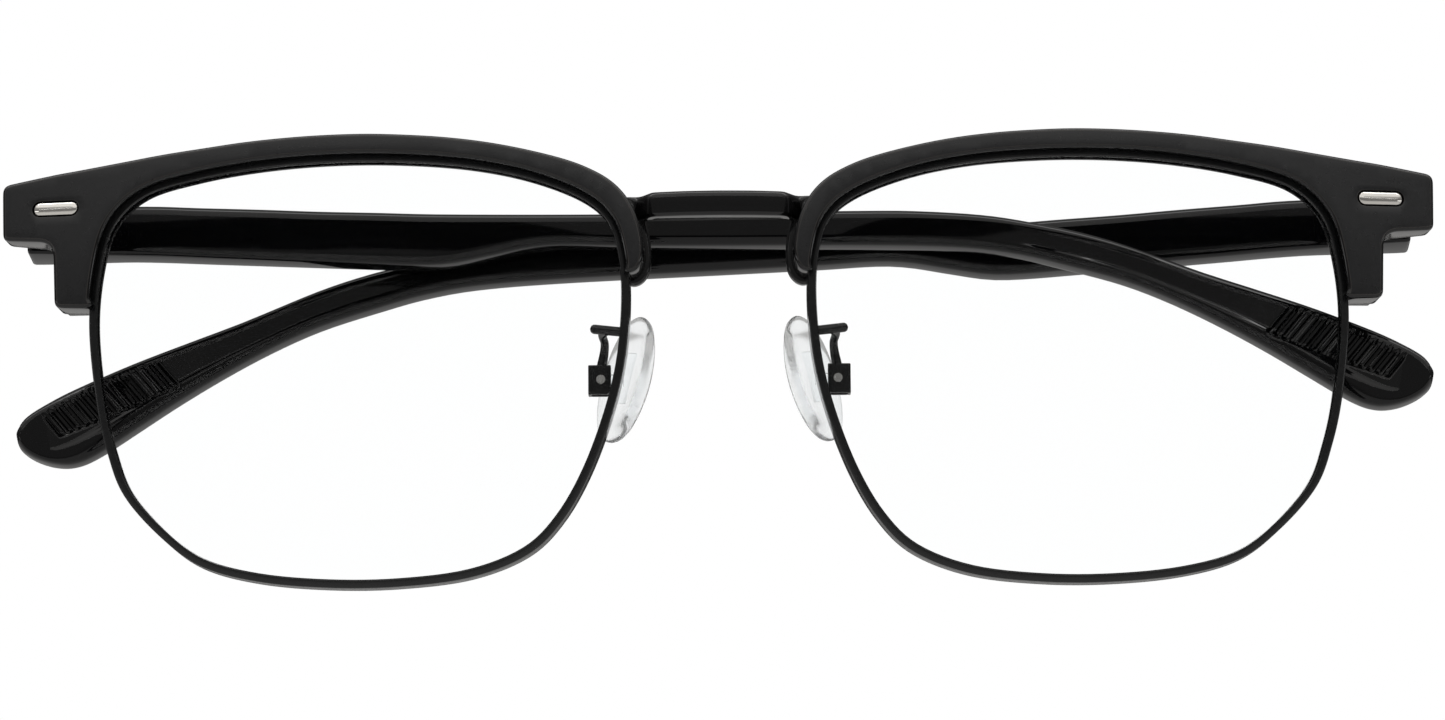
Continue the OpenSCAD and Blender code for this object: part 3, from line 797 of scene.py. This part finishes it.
def make_temple(side):
    b = Build()
    turn = 90 + TUCK_RIGHT if side == "right" else 90 - LIFT_LEFT
    drop = DROP[side]
    top = curve([(-BUTT + 0.05, 2.7)] + TEMPLE_TOP[1:], 10)
    low = curve(TEMPLE_LOW[:-1] + [(-BUTT + 0.05, -2.33)], 10)[::-1]

    def by_length(p):
        return np.r_[0, np.cumsum(np.linalg.norm(np.diff(p, axis=0), axis=1))]

    dt, dl = by_length(top), by_length(low)
    # stations: fine at the butt edge, at the barrel's groove, on the ribs and round the end
    u = np.concatenate([[0, 0.0006, 0.0014, 0.0026, 0.0045, 0.008, 0.013],
                        np.linspace(0.0185, 0.0375, 18), np.linspace(0.046, 0.83, 86),
                        np.linspace(0.831, 0.97, 230), np.linspace(0.972, 0.9985, 18)])

    def at(edge, length, t):
        return np.c_[np.interp(t * length[-1], length, edge[:, 0]),
                     np.interp(t * length[-1], length, edge[:, 1])]

    lp = at(low, dl, u)
    # each station joins a point of the lower edge to one of the upper edge, along the ribs there
    fine = np.linspace(0, 1, 4000)
    over = at(top, dt, fine)
    lean = np.array([math.cos(LEAN), -math.sin(LEAN)])
    turned = [np.interp(0, (over - q) @ lean, fine) for q in lp]
    ribbed = step((lp[:, 0] - 112) / 8) * step((138.5 - lp[:, 0]) / 3.5)
    tp = at(top, dt, np.maximum.accumulate(u + (np.array(turned) - u) * ribbed))
    # the butt edge is eased, the end is rounded off
    butt = np.clip(u / 0.0026, 0, 1)
    butt = 0.32 * (1 - np.sqrt(1 - (1 - butt) ** 2))
    tail = np.clip((u - 0.955) / 0.045, 0, 1)
    tail_x = np.sqrt(np.clip(1 - tail ** 2.6, 0.0, 1))
    rings = []
    m = 7
    for k in range(len(u)):
        p0, p1 = lp[k], tp[k]
        h = np.linalg.norm(p1 - p0)
        d = (p1 - p0) / h
        s_mid = (p0[0] + p1[0]) / 2
        x0, x1 = float(plan_in(s_mid)), float(plan_out(s_mid))
        xm = (x0 + x1) / 2
        x0, x1 = xm + (x0 - xm) * tail_x[k], xm + (x1 - xm) * tail_x[k]
        x0, x1 = x0 + butt[k], x1 - butt[k]
        grow = min(max((s_mid + 2.5) / 9, 0), 1)
        lim = 0.48 * (x1 - x0)
        tip = min(max((s_mid - 100) / 15, 0), 1)
        radii = (min(0.35 + grow * (0.55 + 0.25 * tip), lim, 0.45 * h),   # inner, below
                 min(0.35 + grow * (0.75 + 0.1 * tip), lim, 0.45 * h),    # inner, above
                 min(0.35 + grow * 0.95, lim, 0.45 * h),                  # outer, above
                 min(0.35 + grow * 0.95, lim, 0.45 * h))                  # outer, below
        pts = []
        ang = np.linspace(0, math.pi / 2, m)
        v0, v1 = butt[k], h - butt[k]
        rb, ra, ro, rp = radii
        # inner face upwards
        for v in np.linspace(v0 + rb, v1 - ra, ACROSS):
            pts.append((x0, v))
        for a in ang[1:]:
            pts.append((x0 + ra - ra * math.cos(a), v1 - ra + ra * math.sin(a)))
        for a in ang:
            pts.append((x1 - ro + ro * math.sin(a), v1 - ro + ro * math.cos(a)))
        for v in np.linspace(v1 - ro, v0 + rp, 8)[1:-1]:
            pts.append((x1, v))
        for a in ang:
            pts.append((x1 - rp + rp * math.cos(a), v0 + rp - rp * math.sin(a)))
        for a in ang[:-1]:
            pts.append((x0 + rb - rb * math.sin(a), v0 + rb - rb * math.cos(a)))
        q = np.array(pts)
        sz = p0 + q[:, 1:2] * d
        x = q[:, 0].copy()
        inner = sz[:ACROSS]
        x[:ACROSS] += tail_x[k] * (scoop(inner[:, 0], q[:ACROSS, 1] / h)
                                   + rib_relief(inner[:, 0], inner[:, 1]))
        x = np.maximum(x, np.sqrt(np.clip(BARREL_ROOM ** 2 - sz[:, 0] ** 2, 0, None)))
        z = sz[:, 1] - drop * sz[:, 0]
        rings.append(b.add(from_hinge(np.c_[x, sz[:, 0], z], turn)))
    for p, q in zip(rings[:-1], rings[1:]):
        b.strip(p, q)
    b.f.append(tuple(int(i) for i in rings[0][::-1]))
    b.f.append(tuple(int(i) for i in rings[-1]))
    return b.object(f"vis_temple_{side}", M_TEMPLE, side == "right", 50)


# ---------------------------------------------------------------- put the pieces in
def dress(obj, body, slot, *nodes):
    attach(obj, body)
    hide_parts(*nodes)
    return obj


for side in ("right", "left"):
    dress(make_brow(side), "front", "brow_acetate", f"brow_{side}")
    dress(make_pill(side), "front", "polished_steel", f"brow_inlay_{side}")
    dress(make_rim(side), "front", "black_metal", f"rim_{side}")
    dress(make_lens(side), "front", "clear_lens", f"lens_{side}")
    dress(make_arm(side), "front", "black_metal", f"pad_arm_{side}")
    dress(make_pad(side), f"pad_{side}_body", "silicone", f"nose_pad_{side}")
    dress(make_temple(side), f"temple_{side}_body", "temple_acetate", f"temple_{side}")
dress(make_bridge(), "front", "black_metal", "bridge")

kept = {"rim_screw": M_DARK, "brow_screw": M_DARK, "pad_screw": M_BRIGHT, "pad_core": M_PLATE,
        "hinge_front": M_DARK, "hinge_screw": M_BRIGHT, "hinge_temple": M_DARK,
        "temple_core": M_CORE}
for name, node in frame["nodes"].items():
    stem = name.replace("_right", "").replace("_left", "")
    if stem in kept:
        for s in node.material_slots:
            s.material = kept[stem]

# ---------------------------------------------------------------- floor, light and camera
scene = bpy.context.scene
FLOOR_Z, FLOOR_HALF = -0.11, 4
floor_me = bpy.data.meshes.new("floor")
floor_me.from_pydata([(x * FLOOR_HALF, y * FLOOR_HALF, FLOOR_Z)
                      for x, y in ((-1, -1), (1, -1), (1, 1), (-1, 1))], [], [(0, 1, 2, 3)])
floor = bpy.data.objects.new("floor", floor_me)
bpy.context.collection.objects.link(floor)
M_FLOOR = principled("floor_pale", (0.82, 0.82, 0.82), 0.8, grain=(40, 0.08, 0.1), tint=0.012)
floor_me.materials.append(M_FLOOR)


def world():
    """White where it is seen directly or through the clear parts. For reflections and light it is
    a soft light above, a darker ring round the horizon and a pale ground."""
    w = bpy.data.worlds.new("studio")
    scene.world = w
    w.use_nodes = True
    nt = w.node_tree
    nt.nodes.clear()
    out = nt.nodes.new("ShaderNodeOutputWorld")
    seen = nt.nodes.new("ShaderNodeBackground")
    seen.inputs["Color"].default_value = (1, 1, 1, 1)
    seen.inputs["Strength"].default_value = 1.0
    lit = nt.nodes.new("ShaderNodeBackground")
    coord = nt.nodes.new("ShaderNodeTexCoord")
    sep = nt.nodes.new("ShaderNodeSeparateXYZ")
    nt.links.new(coord.outputs["Generated"], sep.inputs[0])
    half = nt.nodes.new("ShaderNodeMapRange")
    half.inputs["From Min"].default_value = -1.0
    nt.links.new(sep.outputs["Z"], half.inputs["Value"])
    ramp = nt.nodes.new("ShaderNodeValToRGB")
    stops = [(0.0, 0.45), (0.40, 0.34), (0.5, 0.22), (0.62, 0.20), (0.74, 0.30), (0.82, 1.0),
             (1.0, 1.0)]
    el = ramp.color_ramp.elements
    while len(el) < len(stops):
        el.new(0.5)
    for e, (pos, v) in zip(el, stops):
        e.position = pos
        e.color = (v, v * 0.985, v * 0.965, 1)
    nt.links.new(half.outputs[0], ramp.inputs["Fac"])
    behind = nt.nodes.new("ShaderNodeMapRange")
    behind.interpolation_type = "SMOOTHSTEP"
    for k, v in (("From Min", 0.05), ("From Max", 0.55), ("To Min", 1.0), ("To Max", 0.25)):
        behind.inputs[k].default_value = v
    nt.links.new(sep.outputs["Y"], behind.inputs["Value"])
    shade = nt.nodes.new("ShaderNodeVectorMath")
    shade.operation = "SCALE"
    nt.links.new(ramp.outputs["Color"], shade.inputs[0])
    nt.links.new(behind.outputs[0], shade.inputs["Scale"])
    nt.links.new(shade.outputs["Vector"], lit.inputs["Color"])
    lit.inputs["Strength"].default_value = 0.9
    path = nt.nodes.new("ShaderNodeLightPath")
    both = nt.nodes.new("ShaderNodeMath")
    both.operation = "MAXIMUM"
    nt.links.new(path.outputs["Is Camera Ray"], both.inputs[0])
    nt.links.new(path.outputs["Is Transmission Ray"], both.inputs[1])
    mix = nt.nodes.new("ShaderNodeMixShader")
    nt.links.new(both.outputs[0], mix.inputs["Fac"])
    nt.links.new(lit.outputs[0], mix.inputs[1])
    nt.links.new(seen.outputs[0], mix.inputs[2])
    nt.links.new(mix.outputs[0], out.inputs["Surface"])


world()


def softbox(name, place, aim, size, power):
    d = bpy.data.lights.new(name, "AREA")
    d.shape = "RECTANGLE"
    d.size, d.size_y = size
    d.energy = power
    o = bpy.data.objects.new(name, d)
    bpy.context.collection.objects.link(o)
    o.location = place
    o.rotation_mode = "QUATERNION"
    o.rotation_quaternion = (Vector(aim) - Vector(place)).to_track_quat("-Z", "Y")
    o.visible_camera = False
    return o


softbox("top_strip", (0, 0.02, 0.75), (0, 0, 0), (1.4, 0.12), 1.5)
softbox("front_strip", (0, -0.62, 0.42), (0, 0, 0), (1.8, 0.012), 0.20)
softbox("side_left", (-1.0, -0.25, 0.12), (0, 0, 0), (0.8, 0.10), 0.35)
softbox("side_right", (1.0, -0.25, 0.12), (0, 0, 0), (0.8, 0.10), 0.35)

cam_data = bpy.data.cameras.new("camera")
cam = bpy.data.objects.new("camera", cam_data)
bpy.context.collection.objects.link(cam)
scene.camera = cam
ELEV, DIST, ROLL = math.radians(-10), 0.550, math.radians(0.45)
SEEN_WIDTH = 143.0693 * MM  # width of the picture at the front's distance
aim = Vector((0.00032, 0, 0.0011))
ahead = Vector((0, math.cos(ELEV), -math.sin(ELEV)))
up = Vector((0, math.sin(ELEV), math.cos(ELEV)))
right = ahead.cross(up)
cam_up = up * math.cos(ROLL) + right * math.sin(ROLL)
cam_right = ahead.cross(cam_up)
cam.matrix_world = Matrix((cam_right, cam_up, -ahead)).transposed().to_4x4()
cam.location = aim - ahead * DIST
cam_data.sensor_width = 36
cam_data.lens = cam_data.sensor_width * DIST / SEEN_WIDTH
cam_data.clip_start, cam_data.clip_end = 0.01, 20
cam_data.dof.use_dof = False
scene.view_settings.view_transform = "Standard"
